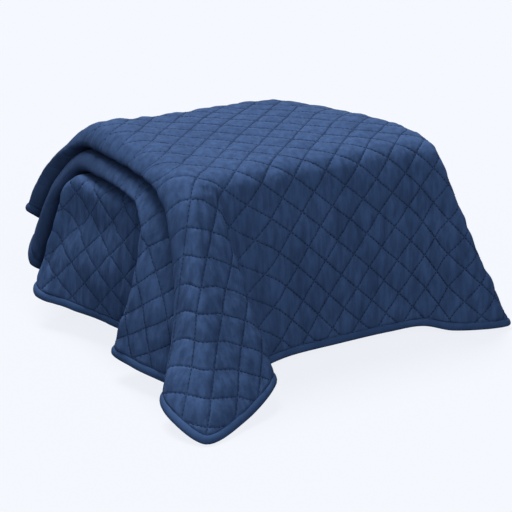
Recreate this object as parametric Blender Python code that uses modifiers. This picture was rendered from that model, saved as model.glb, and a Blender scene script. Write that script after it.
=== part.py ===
"""A quilted bedspread lying over a plain bed block. Metres, +Z up.

The cloth is described by sections. Each one starts at the hem of the near side (-Y), climbs over
the near shoulder, crosses the top and falls over the far shoulder to the far hem. The sections
follow each other from the hem of the end panel at -X, through two pleats and the corner fold,
along the bed to the hem at +X, and a smooth surface passes through them all. That surface is the
outer face of the cloth.
"""

from typing import NamedTuple

import bmesh
import bpy
import numpy as np

for old_object in list(bpy.data.objects):
    bpy.data.objects.remove(old_object)

# Cloth and binding.
CLOTH_THICKNESS = 0.006
BINDING_WIDTH = 0.020
BINDING_PROUD = 0.0015
BINDING_CREST = 0.6
BINDING_ROUND = 0.001
PIECE_GAP = 0.0006
HEM_ZONE = 0.090
HEM_REACH_CELLS = 7
HEM_SMOOTHING = 2
LEAST_MITRE_SHARE = 0.7
TAPE_CREASE_DEGREES = 50.0

# How far each bend of a section reaches along the runs beside it.
KNEE_BEND = 0.10
CROWN_BEND = 0.20
FAR_BEND_RATIO = 1.1
LARGEST_BEND_SHARE = 0.45

# Faces along the six straight runs and the five bends of a section, and between two sections.
RUN_STEPS = (3, 2, 2, 2, 2, 3)
BEND_STEPS = (2, 4, 2, 4, 2)
PLAIN_STEPS = 2
PLEAT_STEPS = 4

# Bed block: its far right corner is cut back, where the cloth falls away inside a full rectangle.
BLOCK_OUTLINE = (
    (-0.362, -0.258),
    (0.345, -0.258),
    (0.345, -0.060),
    (0.295, 0.055),
    (0.230, 0.155),
    (0.140, 0.225),
    (-0.362, 0.238),
)
BLOCK_TOP_LEFT = 0.6055
BLOCK_TOP_RIGHT = 0.5755
BLOCK_EDGE_RADIUS = 0.040
BLOCK_FOOT_RADIUS = 0.004
BLOCK_EDGE_SEGMENTS = 4
BLOCK_CREASE_DEGREES = 40.0


class Side(NamedTuple):
    """Three points down one side of a section."""

    hem: tuple
    knee: tuple
    shoulder: tuple


class Section(NamedTuple):
    """One line over the bed, from the near hem to the far hem."""

    name: str
    bend: float
    crown: float
    near: Side
    far: Side


SECTIONS = (
    Section("end hem", 0.055, 0.0,
            Side((-0.478, 0.045, 0.070), (-0.488, 0.080, 0.070), (-0.500, 0.110, 0.071)),
            Side((-0.555, 0.225, 0.076), (-0.542, 0.200, 0.075), (-0.530, 0.170, 0.073))),
    Section("end low", 0.120, 0.0,
            Side((-0.462, -0.020, 0.070), (-0.458, -0.030, 0.150), (-0.470, 0.020, 0.240)),
            Side((-0.585, 0.270, 0.080), (-0.560, 0.270, 0.150), (-0.525, 0.235, 0.225))),
    Section("end mid", 0.120, 0.0,
            Side((-0.452, -0.070, 0.070), (-0.440, -0.080, 0.200), (-0.440, -0.030, 0.350)),
            Side((-0.597, 0.300, 0.088), (-0.545, 0.300, 0.200), (-0.480, 0.255, 0.350))),
    Section("end top", 0.060, 0.0,
            Side((-0.445, -0.110, 0.070), (-0.425, -0.120, 0.250), (-0.412, -0.080, 0.450)),
            Side((-0.588, 0.322, 0.096), (-0.530, 0.310, 0.270), (-0.482, 0.285, 0.454))),
    Section("tuck 2", 0.100, 0.012,
            Side((-0.435, -0.130, 0.070), (-0.410, -0.130, 0.280), (-0.385, -0.100, 0.475)),
            Side((-0.495, 0.375, 0.095), (-0.445, 0.355, 0.290), (-0.385, 0.300, 0.455))),
    Section("fold 2", 0.100, 0.012,
            Side((-0.552, -0.137, 0.070), (-0.503, -0.190, 0.290), (-0.447, -0.145, 0.500)),
            Side((-0.582, 0.367, 0.166), (-0.522, 0.357, 0.360), (-0.452, 0.290, 0.480))),
    Section("roll 2", 0.110, 0.012,
            Side((-0.535, -0.235, 0.060), (-0.475, -0.235, 0.310), (-0.420, -0.160, 0.532)),
            Side((-0.535, 0.425, 0.215), (-0.478, 0.400, 0.395), (-0.430, 0.305, 0.520))),
    Section("tuck 1", 0.120, 0.012,
            Side((-0.485, -0.410, 0.050), (-0.430, -0.330, 0.300), (-0.385, -0.215, 0.545)),
            Side((-0.468, 0.445, 0.222), (-0.425, 0.395, 0.400), (-0.385, 0.305, 0.525))),
    Section("fold 1", 0.120, 0.012,
            Side((-0.564, -0.466, 0.060), (-0.462, -0.377, 0.280), (-0.430, -0.245, 0.570)),
            Side((-0.550, 0.450, 0.296), (-0.498, 0.415, 0.450), (-0.432, 0.305, 0.545))),
    Section("roll 1", 0.100, 0.012,
            Side((-0.572, -0.540, 0.042), (-0.465, -0.425, 0.280), (-0.402, -0.280, 0.606)),
            Side((-0.470, 0.530, 0.240), (-0.430, 0.460, 0.430), (-0.402, 0.310, 0.600))),
    Section("tip", 0.070, 0.018,
            Side((-0.520, -0.647, 0.006), (-0.455, -0.478, 0.270), (-0.362, -0.295, 0.612)),
            Side((-0.360, 0.600, 0.020), (-0.380, 0.440, 0.320), (-0.340, 0.290, 0.612))),
    Section("flap", 0.055, 0.018,
            Side((-0.375, -0.605, 0.020), (-0.370, -0.457, 0.280), (-0.345, -0.293, 0.609)),
            Side((-0.270, 0.580, 0.012), (-0.330, 0.440, 0.290), (-0.310, 0.275, 0.610))),
    Section("flap edge", 0.055, 0.018,
            Side((-0.232, -0.517, 0.060), (-0.270, -0.415, 0.290), (-0.325, -0.290, 0.607)),
            Side((-0.190, 0.480, 0.050), (-0.250, 0.370, 0.290), (-0.290, 0.270, 0.609))),
    Section("flap tuck", 0.055, 0.018,
            Side((-0.190, -0.365, 0.030), (-0.272, -0.348, 0.300), (-0.285, -0.286, 0.604)),
            Side((-0.140, 0.345, 0.035), (-0.200, 0.310, 0.300), (-0.245, 0.268, 0.608))),
    Section("side 1", 0.065, 0.018,
            Side((-0.100, -0.336, 0.034), (-0.120, -0.320, 0.300), (-0.150, -0.283, 0.600)),
            Side((-0.080, 0.325, 0.040), (-0.120, 0.290, 0.300), (-0.140, 0.266, 0.607))),
    Section("side 2", 0.075, 0.018,
            Side((0.080, -0.332, 0.036), (0.070, -0.315, 0.300), (0.050, -0.283, 0.595)),
            Side((0.060, 0.320, 0.040), (0.050, 0.285, 0.300), (0.040, 0.268, 0.605))),
    Section("side 3", 0.075, 0.018,
            Side((0.250, -0.330, 0.034), (0.240, -0.315, 0.300), (0.230, -0.283, 0.590)),
            Side((0.220, 0.312, 0.035), (0.190, 0.280, 0.300), (0.175, 0.262, 0.596))),
    Section("side 4", 0.075, 0.018,
            Side((0.365, -0.337, 0.030), (0.355, -0.320, 0.300), (0.340, -0.283, 0.584)),
            Side((0.350, 0.290, 0.025), (0.300, 0.240, 0.300), (0.270, 0.200, 0.580))),
    Section("side 5", 0.075, 0.018,
            Side((0.440, -0.385, 0.018), (0.405, -0.345, 0.300), (0.392, -0.282, 0.582)),
            Side((0.450, 0.300, 0.014), (0.370, 0.195, 0.300), (0.335, 0.080, 0.575))),
    Section("ridge", 0.065, 0.018,
            Side((0.622, -0.412, 0.008), (0.480, -0.402, 0.300), (0.420, -0.275, 0.575)),
            Side((0.545, 0.310, 0.012), (0.430, 0.155, 0.290), (0.372, -0.020, 0.565))),
    Section("ridge back", 0.055, 0.0,
            Side((0.595, -0.335, 0.015), (0.470, -0.310, 0.300), (0.424, -0.235, 0.555)),
            Side((0.525, 0.252, 0.014), (0.440, 0.095, 0.290), (0.395, -0.060, 0.540))),
    Section("right 1", 0.055, 0.0,
            Side((0.590, -0.290, 0.014), (0.500, -0.240, 0.250), (0.440, -0.170, 0.400)),
            Side((0.550, 0.200, 0.015), (0.465, 0.090, 0.200), (0.415, -0.030, 0.400))),
    Section("right 2", 0.055, 0.0,
            Side((0.605, -0.250, 0.012), (0.540, -0.180, 0.130), (0.472, -0.120, 0.220)),
            Side((0.548, 0.152, 0.014), (0.500, 0.080, 0.110), (0.455, 0.000, 0.220))),
    Section("right hem", 0.055, 0.0,
            Side((0.620, -0.210, 0.010), (0.555, -0.140, 0.015), (0.500, -0.080, 0.032)),
            Side((0.562, 0.100, 0.012), (0.535, 0.055, 0.022), (0.508, 0.000, 0.032))),
)
FIRST_PLEAT = 4
LAST_PLEAT = 11


def bend(start, corner, end, steps):
    """Points of a parabola from start to end that rounds off a corner, without its start."""
    t = np.linspace(0.0, 1.0, steps + 1)[1:, None]
    return (1.0 - t) ** 2 * start + 2.0 * t * (1.0 - t) * corner + t**2 * end


def section_line(section):
    """A section as a line of points, the same number for every section."""
    near = [np.array(point) for point in section.near]
    far = [np.array(point) for point in reversed(section.far)]
    crown = (near[2] + far[0]) / 2.0 + np.array((0.0, 0.0, section.crown))
    corners = near + [crown] + far
    lengths = [np.linalg.norm(b - a) for a, b in zip(corners, corners[1:])]
    reaches = (KNEE_BEND, section.bend, CROWN_BEND, section.bend * FAR_BEND_RATIO, KNEE_BEND)
    points = [corners[0][None]]
    here = corners[0]
    for index, reach in enumerate(reaches):
        corner = corners[index + 1]
        reach = min(reach, LARGEST_BEND_SHARE * lengths[index], LARGEST_BEND_SHARE * lengths[index + 1])
        start = corner + (corners[index] - corner) * reach / lengths[index]
        end = corner + (corners[index + 2] - corner) * reach / lengths[index + 1]
        share = np.linspace(0.0, 1.0, RUN_STEPS[index] + 1)[1:, None]
        points.append(here + (start - here) * share)
        points.append(bend(start, corner, end, BEND_STEPS[index]))
        here = end
    share = np.linspace(0.0, 1.0, RUN_STEPS[-1] + 1)[1:, None]
    points.append(here + (corners[-1] - here) * share)
    return np.vstack(points)


def between(before, start, end, after, share):
    """A point of the centripetal Catmull-Rom curve from start to end, for lines of points."""
    knots = [np.zeros(len(start))]
    for a, b in ((before, start), (start, end), (end, after)):
        knots.append(knots[-1] + np.sqrt(np.maximum(np.linalg.norm(b - a, axis=1), 1e-6)))
    t = knots[1] + (knots[2] - knots[1]) * share

    def mix(a, b, first, last):
        weight = ((t - knots[first]) / (knots[last] - knots[first]))[:, None]
        return a * (1.0 - weight) + b * weight

    low = mix(before, start, 0, 1)
    middle = mix(start, end, 1, 2)
    high = mix(end, after, 2, 3)
    return mix(mix(low, middle, 0, 2), mix(middle, high, 1, 3), 1, 2)


def cloth_grid():
    """The outer face of the whole cloth, hem to hem, as rows of points."""
    lines = [section_line(section) for section in SECTIONS]
    lines = [2.0 * lines[0] - lines[1]] + lines + [2.0 * lines[-1] - lines[-2]]
    rows = [lines[1]]
    for index in range(1, len(lines) - 2):
        steps = PLEAT_STEPS if FIRST_PLEAT <= index <= LAST_PLEAT else PLAIN_STEPS
        for step in range(1, steps + 1):
            rows.append(between(*lines[index - 1:index + 3], step / steps))
    return np.array(rows)


def edge_cells(row_count, column_count):
    """The cells of a grid's edge in order: near side, last row, far side, first row."""
    near = [(row, 0) for row in range(row_count - 1)]
    last = [(row_count - 1, column) for column in range(column_count - 1)]
    far = [(row, column_count - 1) for row in range(row_count - 1, 0, -1)]
    first = [(0, column) for column in range(column_count - 1, 0, -1)]
    return near + last + far + first


def grid_normals(grid):
    """Outward unit normals at the points of a grid."""
    along = np.gradient(grid, axis=0)
    across = np.gradient(grid, axis=1)
    normals = np.cross(along, across)
    return normals / np.linalg.norm(normals, axis=2, keepdims=True)


def hem_insets(grid, cells):
    """For each point of the edge, the way into the cloth, scaled so that one unit is square to the hem."""
    hem = np.array([grid[cell] for cell in cells])
    last = np.array(grid.shape[:2]) - 2
    inner = np.clip(np.array(cells), 1, last)
    normals = grid_normals(grid)[inner[:, 0], inner[:, 1]]
    before = hem - np.roll(hem, 1, axis=0)
    after = np.roll(hem, -1, axis=0) - hem
    inward = []
    for edge in (before, after):
        square = np.cross(normals, edge)
        inward.append(square / np.linalg.norm(square, axis=1, keepdims=True))
    middle = inward[0] + inward[1]
    middle = middle / np.linalg.norm(middle, axis=1, keepdims=True)
    spread = np.maximum(np.sum(middle * inward[0], axis=1), LEAST_MITRE_SHARE)
    ways = middle / spread[:, None]
    for _ in range(HEM_SMOOTHING):
        ways = (np.roll(ways, 1, axis=0) + 2.0 * ways + np.roll(ways, -1, axis=0)) / 4.0
    return ways


def nearest_on_line(point, starts, ends):
    """The nearest point of a set of straight pieces."""
    runs = ends - starts
    share = np.sum((point - starts) * runs, axis=1) / np.maximum(np.sum(runs * runs, axis=1), 1e-12)
    feet = starts + runs * np.clip(share, 0.0, 1.0)[:, None]
    return feet[np.argmin(np.linalg.norm(feet - point, axis=1))]


def panel_grid(grid, inset):
    """The grid drawn in by one inset all round, so that the binding fits outside it."""
    row_count, column_count = grid.shape[:2]
    cells = edge_cells(row_count, column_count)
    hem = np.array([grid[cell] for cell in cells])
    ends = np.roll(hem, -1, axis=0)
    places = np.array(cells)
    drawn = grid.copy()
    for row in range(1, row_count - 1):
        for column in range(1, column_count - 1):
            close = np.abs(places[:, 0] - row) + np.abs(places[:, 1] - column) <= HEM_REACH_CELLS
            if not close.any():
                continue
            foot = nearest_on_line(grid[row, column], hem[close], ends[close])
            reach = grid[row, column] - foot
            distance = np.linalg.norm(reach)
            if distance < HEM_ZONE:
                drawn[row, column] = foot + reach / distance * (inset + distance * (1.0 - inset / HEM_ZONE))
    for cell, way in zip(cells, hem_insets(grid, cells)):
        drawn[cell] = grid[cell] + way * inset
    return drawn


def add_object(name, mesh, material, parent):
    """Link a mesh to the bedspread's collection as a named piece."""
    mesh.materials.append(material)
    piece = bpy.data.objects.new(name, mesh)
    piece.parent = parent
    bpy.data.collections["bedspread"].objects.link(piece)
    return piece


def make_material(name, colour, roughness):
    """A plain Principled material."""
    material = bpy.data.materials.new(name)
    material.use_nodes = True
    shader = material.node_tree.nodes["Principled BSDF"]
    shader.inputs["Base Color"].default_value = (*colour, 1.0)
    shader.inputs["Roughness"].default_value = roughness
    shader.inputs["Metallic"].default_value = 0.0
    return material


def grid_mesh(name, grid):
    """An open surface through a grid of points, with its faces turned outward."""
    row_count, column_count = grid.shape[:2]
    faces = []
    for row in range(row_count - 1):
        for column in range(column_count - 1):
            corner = row * column_count + column
            faces.append((corner, corner + column_count, corner + column_count + 1, corner + 1))
    mesh = bpy.data.meshes.new(name)
    mesh.from_pydata(grid.reshape(-1, 3).tolist(), [], faces)
    mesh.update()
    mesh.shade_smooth()
    return mesh


def make_panel(drawn, material, parent):
    """The quilted cloth: its outer face thickened inward."""
    panel = add_object("quilted_panel", grid_mesh("quilted_panel", drawn), material, parent)
    solid = panel.modifiers.new("thickness", "SOLIDIFY")
    solid.thickness = CLOTH_THICKNESS
    solid.offset = -1.0
    return panel


def make_binding(grid, panel, material, parent):
    """The folded tape round the edge: one closed ring of rounded sections outside the panel."""
    row_count, column_count = grid.shape[:2]
    cells = edge_cells(row_count, column_count)
    inner = PIECE_GAP / (BINDING_WIDTH + PIECE_GAP)
    profile = (
        (inner, -CLOTH_THICKNESS),
        (inner, 0.0),
        (BINDING_CREST, BINDING_PROUD),
        (1.0, -BINDING_ROUND),
        (1.0, BINDING_ROUND - CLOTH_THICKNESS),
        (BINDING_CREST, -CLOTH_THICKNESS - BINDING_PROUD),
    )
    shape = bmesh.new()
    rings = []
    for cell in cells:
        vertex = panel.data.vertices[cell[0] * column_count + cell[1]]
        edge = np.array(vertex.co)
        normal = np.array(vertex.normal)
        way = grid[cell] - edge
        rings.append([shape.verts.new(edge + way * share + normal * height) for share, height in profile])
    for ring, following in zip(rings, rings[1:] + rings[:1]):
        for index in range(len(profile)):
            after = (index + 1) % len(profile)
            quad = (ring[index], following[index], following[after], ring[after])
            if index == 0:
                # The wall that faces the panel folds along the same diagonals as the panel's own edge.
                shape.faces.new(quad[:3])
                shape.faces.new((quad[2], quad[3], quad[0]))
            else:
                shape.faces.new(quad)
    bmesh.ops.recalc_face_normals(shape, faces=shape.faces)
    mesh = bpy.data.meshes.new("binding")
    shape.to_mesh(mesh)
    shape.free()
    mesh.shade_smooth()
    mesh.set_sharp_from_angle(angle=np.radians(TAPE_CREASE_DEGREES))
    return add_object("binding", mesh, material, parent)


def make_block(material, parent):
    """The plain block inside: an outline drawn up to a top that leans with the cloth."""
    left = min(x for x, y in BLOCK_OUTLINE)
    right = max(x for x, y in BLOCK_OUTLINE)
    shape = bmesh.new()
    floor_verts = [shape.verts.new((x, y, 0.0)) for x, y in BLOCK_OUTLINE]
    base = shape.faces.new(floor_verts)
    raised = bmesh.ops.extrude_face_region(shape, geom=[base])
    for vertex in raised["geom"]:
        if isinstance(vertex, bmesh.types.BMVert):
            share = (vertex.co.x - left) / (right - left)
            vertex.co.z = BLOCK_TOP_LEFT + (BLOCK_TOP_RIGHT - BLOCK_TOP_LEFT) * share
    bmesh.ops.recalc_face_normals(shape, faces=shape.faces)
    mesh = bpy.data.meshes.new("bed_block")
    shape.to_mesh(mesh)
    shape.free()
    weights = mesh.attributes.new("bevel_weight_edge", "FLOAT", "EDGE")
    for edge in mesh.edges:
        heights = [mesh.vertices[index].co.z for index in edge.vertices]
        weights.data[edge.index].value = 1.0 if max(heights) > 0.0 else BLOCK_FOOT_RADIUS / BLOCK_EDGE_RADIUS
    block = add_object("bed_block", mesh, material, parent)
    rounding = block.modifiers.new("edges", "BEVEL")
    rounding.limit_method = "WEIGHT"
    rounding.width = BLOCK_EDGE_RADIUS
    rounding.segments = BLOCK_EDGE_SEGMENTS
    rounding.use_clamp_overlap = True
    mesh.shade_smooth()
    mesh.set_sharp_from_angle(angle=np.radians(BLOCK_CREASE_DEGREES))
    return block


def main():
    """Build the bedspread and stand it over the origin."""
    collection = bpy.data.collections.new("bedspread")
    bpy.context.scene.collection.children.link(collection)
    root = bpy.data.objects.new("bedspread_place", None)
    collection.objects.link(root)
    navy = make_material("navy quilted cotton", (0.022, 0.045, 0.105), 0.9)
    tape = make_material("navy binding", (0.018, 0.035, 0.080), 0.85)
    plain = make_material("plain ticking", (0.62, 0.62, 0.60), 0.9)
    grid = cloth_grid()
    middle = (grid.min(axis=(0, 1)) + grid.max(axis=(0, 1))) / 2.0
    root.location = (-middle[0], -middle[1], 0.0)
    drawn = panel_grid(grid, BINDING_WIDTH + PIECE_GAP)
    panel = make_panel(drawn, navy, root)
    make_binding(grid, panel, tape, root)
    make_block(plain, root)


main()
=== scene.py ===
"""The looks of a quilted bedspread that lies over a plain bed block.

The cloth is drawn along sections. Each section runs from the hem of the long side in front, over
the bed, to the hem behind, and carries the stitching's own coordinates with it, so that the
diamonds follow every fold. Metres, +Z up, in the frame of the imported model.
"""

import logging
import math
from dataclasses import dataclass, field
from enum import Enum
from functools import cached_property
from typing import Any, NamedTuple, Sequence, Union

import bpy
import numpy as np
from mathutils import Matrix, Vector
from mathutils.bvhtree import BVHTree
from mathutils.kdtree import KDTree


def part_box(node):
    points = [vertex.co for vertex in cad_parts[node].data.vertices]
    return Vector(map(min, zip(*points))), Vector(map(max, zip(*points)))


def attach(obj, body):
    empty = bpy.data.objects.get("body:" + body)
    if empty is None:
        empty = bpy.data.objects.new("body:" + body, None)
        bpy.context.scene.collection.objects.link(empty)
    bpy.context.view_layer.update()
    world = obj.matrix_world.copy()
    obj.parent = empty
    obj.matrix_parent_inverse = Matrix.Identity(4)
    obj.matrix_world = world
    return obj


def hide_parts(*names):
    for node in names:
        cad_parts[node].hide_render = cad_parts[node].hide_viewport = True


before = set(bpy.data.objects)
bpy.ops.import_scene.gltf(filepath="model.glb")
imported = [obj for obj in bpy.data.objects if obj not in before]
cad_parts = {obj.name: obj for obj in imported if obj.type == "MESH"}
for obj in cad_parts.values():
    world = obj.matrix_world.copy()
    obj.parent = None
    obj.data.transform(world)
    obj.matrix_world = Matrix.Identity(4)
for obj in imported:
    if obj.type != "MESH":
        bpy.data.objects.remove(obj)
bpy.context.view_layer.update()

log = logging.getLogger("bedspread")

Array = np.ndarray
Number = Union[int, float]
Point = tuple[float, float, float]
Pair = tuple[float, float]
Faces = list[tuple[int, ...]]
Operand = Union["Wire", Number]
Tint = Union["Wire", "Colour"]

BODY = "root"
# The mesh layer with the stitching's coordinates and the fullness, for the materials; low fullness
# paints shade into the colour.
STITCH_LAYER = "stitch"
# Least length, area and gap that sums divide by.
TINY = 1e-9
LEAST_GAP = 1e-6
# A Mix node's inputs between its factor and its two colours, left as they are, and the place of
# its blended colour.
MIX_UNUSED = (None,) * 5
MIX_OUTPUT = 2


# The cloth's sections -----------------------------------------------------------------------


class Side(NamedTuple):
    """Three points down one side of a section, in the drawing's own coordinates."""

    hem: Point
    knee: Point
    shoulder: Point


class Stitch(NamedTuple):
    """Stitching coordinates along a section: near hem, near shoulder, far shoulder, far hem."""

    near_hem: Pair
    near_top: Pair
    far_top: Pair
    far_hem: Pair


@dataclass(frozen=True)
class Section:
    """One line over the bed."""

    name: str  # What the section is, in a maker's words
    bend: float  # Reach of the shoulder's rounding, in metres
    crown: float  # Rise of the top's middle over its shoulders, in metres
    near: Side  # The points of the near side
    far: Side  # The points of the far side
    # The stitching's coordinates, or None on the flat end panel, where they follow from height and
    # depth alone
    stitch: Union[Stitch, None] = None
    # How far the padding rises, at the same four places as the stitching; where it is low the
    # materials also paint shade into the pleats
    fullness: tuple[float, float, float, float] = (1.0, 1.0, 1.0, 1.0)


SECTIONS = (
    Section("end hem", 0.055, 0.0,
            Side((-0.478, 0.045, 0.070), (-0.488, 0.080, 0.070), (-0.500, 0.110, 0.071)),
            Side((-0.555, 0.225, 0.076), (-0.542, 0.200, 0.075), (-0.530, 0.170, 0.073)),
            None, (0.7, 0.7, 0.7, 0.7)),
    Section("end low", 0.120, 0.0,
            Side((-0.462, -0.020, 0.070), (-0.458, -0.030, 0.150), (-0.470, 0.020, 0.240)),
            Side((-0.585, 0.270, 0.080), (-0.560, 0.270, 0.150), (-0.525, 0.235, 0.225)),
            None, (0.7, 0.7, 0.7, 0.7)),
    Section("end mid", 0.120, 0.0,
            Side((-0.452, -0.070, 0.070), (-0.440, -0.080, 0.200), (-0.440, -0.030, 0.350)),
            Side((-0.597, 0.300, 0.088), (-0.545, 0.300, 0.200), (-0.480, 0.255, 0.350)),
            None, (0.7, 0.7, 0.7, 0.7)),
    Section("end top", 0.060, 0.0,
            Side((-0.445, -0.110, 0.070), (-0.425, -0.120, 0.250), (-0.412, -0.080, 0.450)),
            Side((-0.588, 0.322, 0.096), (-0.530, 0.310, 0.270), (-0.482, 0.285, 0.454)),
            None, (0.7, 0.7, 0.7, 0.7)),
    Section("tuck 2", 0.100, 0.012,
            Side((-0.435, -0.130, 0.070), (-0.410, -0.130, 0.280), (-0.385, -0.100, 0.475)),
            Side((-0.495, 0.375, 0.095), (-0.445, 0.355, 0.290), (-0.385, 0.300, 0.455)),
            None, (1.0, 0.5, 0.2, 0.3)),
    Section("fold 2", 0.100, 0.012,
            Side((-0.552, -0.137, 0.070), (-0.503, -0.190, 0.290), (-0.447, -0.145, 0.500)),
            Side((-0.582, 0.367, 0.166), (-0.522, 0.357, 0.360), (-0.452, 0.290, 0.480)),
            Stitch((-4.5, 0.0), (0.0, 0.55), (-0.6, 5.6), (-4.2, 7.2)),
            (1.0, 0.6, 0.2, 0.3)),
    Section("roll 2", 0.110, 0.012,
            Side((-0.535, -0.235, 0.060), (-0.475, -0.235, 0.310), (-0.420, -0.160, 0.532)),
            Side((-0.535, 0.425, 0.215), (-0.478, 0.400, 0.395), (-0.430, 0.305, 0.520)),
            Stitch((-4.2, -1.15), (0.35, 0.3), (-0.8, 5.75), (-4.2, 7.7)),
            (1.0, 0.55, 0.2, 0.3)),
    Section("tuck 1", 0.120, 0.012,
            Side((-0.485, -0.410, 0.050), (-0.430, -0.330, 0.300), (-0.385, -0.215, 0.545)),
            Side((-0.468, 0.445, 0.222), (-0.425, 0.395, 0.400), (-0.385, 0.305, 0.525)),
            Stitch((-3.85, -3.2), (0.1, 0.0), (-0.85, 5.95), (-4.2, 8.0)),
            (1.0, 0.5, 0.15, 0.3)),
    Section("fold 1", 0.120, 0.012,
            Side((-0.564, -0.466, 0.060), (-0.462, -0.377, 0.280), (-0.430, -0.245, 0.570)),
            Side((-0.550, 0.450, 0.296), (-0.498, 0.415, 0.450), (-0.432, 0.305, 0.545)),
            Stitch((-4.2, -4.15), (-0.25, -0.1), (-0.8, 6.1), (-4.2, 7.0)),
            (0.85, 0.6, 0.25, 0.3)),
    Section("roll 1", 0.100, 0.012,
            Side((-0.572, -0.540, 0.042), (-0.465, -0.425, 0.280), (-0.402, -0.280, 0.606)),
            Side((-0.470, 0.530, 0.240), (-0.430, 0.460, 0.430), (-0.402, 0.310, 0.600)),
            Stitch((-4.2, -4.8), (-0.4, -0.05), (-0.5, 6.2), (-4.2, 8.2)),
            (0.6, 0.75, 0.5, 0.4)),
    Section("tip", 0.070, 0.018,
            Side((-0.520, -0.647, 0.006), (-0.455, -0.478, 0.270), (-0.362, -0.295, 0.612)),
            Side((-0.360, 0.600, 0.020), (-0.380, 0.440, 0.320), (-0.340, 0.290, 0.612)),
            Stitch((-3.9, -5.85), (-0.15, -0.2), (0.1, 6.1), (-4.0, 11.8)),
            (1.0, 1.0, 0.9, 0.8)),
    Section("flap", 0.055, 0.018,
            Side((-0.375, -0.605, 0.020), (-0.370, -0.457, 0.280), (-0.345, -0.293, 0.609)),
            Side((-0.270, 0.580, 0.012), (-0.330, 0.440, 0.290), (-0.310, 0.275, 0.610)),
            Stitch((-2.65, -6.2), (0.0, -0.2), (0.4, 5.9), (-2.65, 12.0))),
    Section("flap edge", 0.055, 0.018,
            Side((-0.232, -0.517, 0.060), (-0.270, -0.415, 0.290), (-0.325, -0.290, 0.607)),
            Side((-0.190, 0.480, 0.050), (-0.250, 0.370, 0.290), (-0.290, 0.270, 0.609)),
            Stitch((-0.95, -6.0), (0.15, -0.2), (0.65, 5.8), (-1.0, 11.5))),
    Section("flap tuck", 0.055, 0.018,
            Side((-0.190, -0.365, 0.030), (-0.272, -0.348, 0.300), (-0.285, -0.286, 0.604)),
            Side((-0.140, 0.345, 0.035), (-0.200, 0.310, 0.300), (-0.245, 0.268, 0.608)),
            Stitch((0.15, -5.75), (0.4, -0.2), (1.2, 5.8), (0.9, 11.1)),
            (0.35, 0.7, 1.0, 1.0)),
    Section("side 1", 0.065, 0.018,
            Side((-0.100, -0.336, 0.034), (-0.120, -0.320, 0.300), (-0.150, -0.283, 0.600)),
            Side((-0.080, 0.325, 0.040), (-0.120, 0.290, 0.300), (-0.140, 0.266, 0.607)),
            Stitch((1.0, -5.55), (1.6, -0.2), (2.35, 5.85), (2.2, 11.1))),
    Section("side 2", 0.075, 0.018,
            Side((0.080, -0.332, 0.036), (0.070, -0.315, 0.300), (0.050, -0.283, 0.595)),
            Side((0.060, 0.320, 0.040), (0.050, 0.285, 0.300), (0.040, 0.268, 0.605)),
            Stitch((3.2, -5.5), (3.45, -0.25), (4.2, 6.3), (4.0, 11.4))),
    Section("side 3", 0.075, 0.018,
            Side((0.250, -0.330, 0.034), (0.240, -0.315, 0.300), (0.230, -0.283, 0.590)),
            Side((0.220, 0.312, 0.035), (0.190, 0.280, 0.300), (0.175, 0.262, 0.596)),
            Stitch((5.05, -5.6), (5.15, -0.3), (5.55, 6.2), (5.4, 11.2))),
    Section("side 4", 0.075, 0.018,
            Side((0.365, -0.337, 0.030), (0.355, -0.320, 0.300), (0.340, -0.283, 0.584)),
            Side((0.350, 0.290, 0.025), (0.300, 0.240, 0.300), (0.270, 0.200, 0.580)),
            Stitch((6.4, -5.65), (6.3, -0.35), (6.0, 5.35), (6.5, 10.7))),
    Section("side 5", 0.075, 0.018,
            Side((0.440, -0.385, 0.018), (0.405, -0.345, 0.300), (0.392, -0.282, 0.582)),
            Side((0.450, 0.300, 0.014), (0.370, 0.195, 0.300), (0.335, 0.080, 0.575)),
            Stitch((7.55, -5.85), (6.8, -0.35), (6.55, 4.0), (7.6, 10.2)),
            (1.0, 0.85, 0.75, 1.0)),
    Section("ridge", 0.065, 0.018,
            Side((0.622, -0.412, 0.008), (0.480, -0.402, 0.300), (0.420, -0.275, 0.575)),
            Side((0.545, 0.310, 0.012), (0.430, 0.155, 0.290), (0.372, -0.020, 0.565)),
            Stitch((9.8, -6.05), (7.1, -0.4), (6.9, 2.8), (9.2, 9.1)),
            (0.9, 0.6, 0.6, 1.0)),
    Section("ridge back", 0.055, 0.0,
            Side((0.595, -0.335, 0.015), (0.470, -0.310, 0.300), (0.424, -0.235, 0.555)),
            Side((0.525, 0.252, 0.014), (0.440, 0.095, 0.290), (0.395, -0.060, 0.540)),
            Stitch((10.65, -6.15), (7.55, -0.35), (7.05, 2.25), (10.1, 7.9)),
            (0.8, 0.6, 0.6, 1.0)),
    Section("right 1", 0.055, 0.0,
            Side((0.590, -0.290, 0.014), (0.500, -0.240, 0.250), (0.440, -0.170, 0.400)),
            Side((0.550, 0.200, 0.015), (0.465, 0.090, 0.200), (0.415, -0.030, 0.400)),
            Stitch((11.2, -5.6), (9.1, 0.1), (8.8, 2.2), (11.0, 6.4))),
    Section("right 2", 0.055, 0.0,
            Side((0.605, -0.250, 0.012), (0.540, -0.180, 0.130), (0.472, -0.120, 0.220)),
            Side((0.548, 0.152, 0.014), (0.500, 0.080, 0.110), (0.455, 0.000, 0.220)),
            Stitch((11.7, -4.6), (10.8, 0.3), (10.6, 2.2), (11.8, 4.7))),
    Section("right hem", 0.055, 0.0,
            Side((0.620, -0.210, 0.010), (0.555, -0.140, 0.015), (0.500, -0.080, 0.032)),
            Side((0.562, 0.100, 0.012), (0.535, 0.055, 0.022), (0.508, 0.000, 0.032)),
            Stitch((12.2, -3.4), (12.6, 0.2), (12.6, 1.8), (12.3, 3.6))),
)


# Small geometry helpers ---------------------------------------------------------------------


def unit(vectors: Array) -> Array:
    """Vectors of length one."""
    return vectors / np.maximum(np.linalg.norm(vectors, axis=-1, keepdims=True), TINY)


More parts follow.
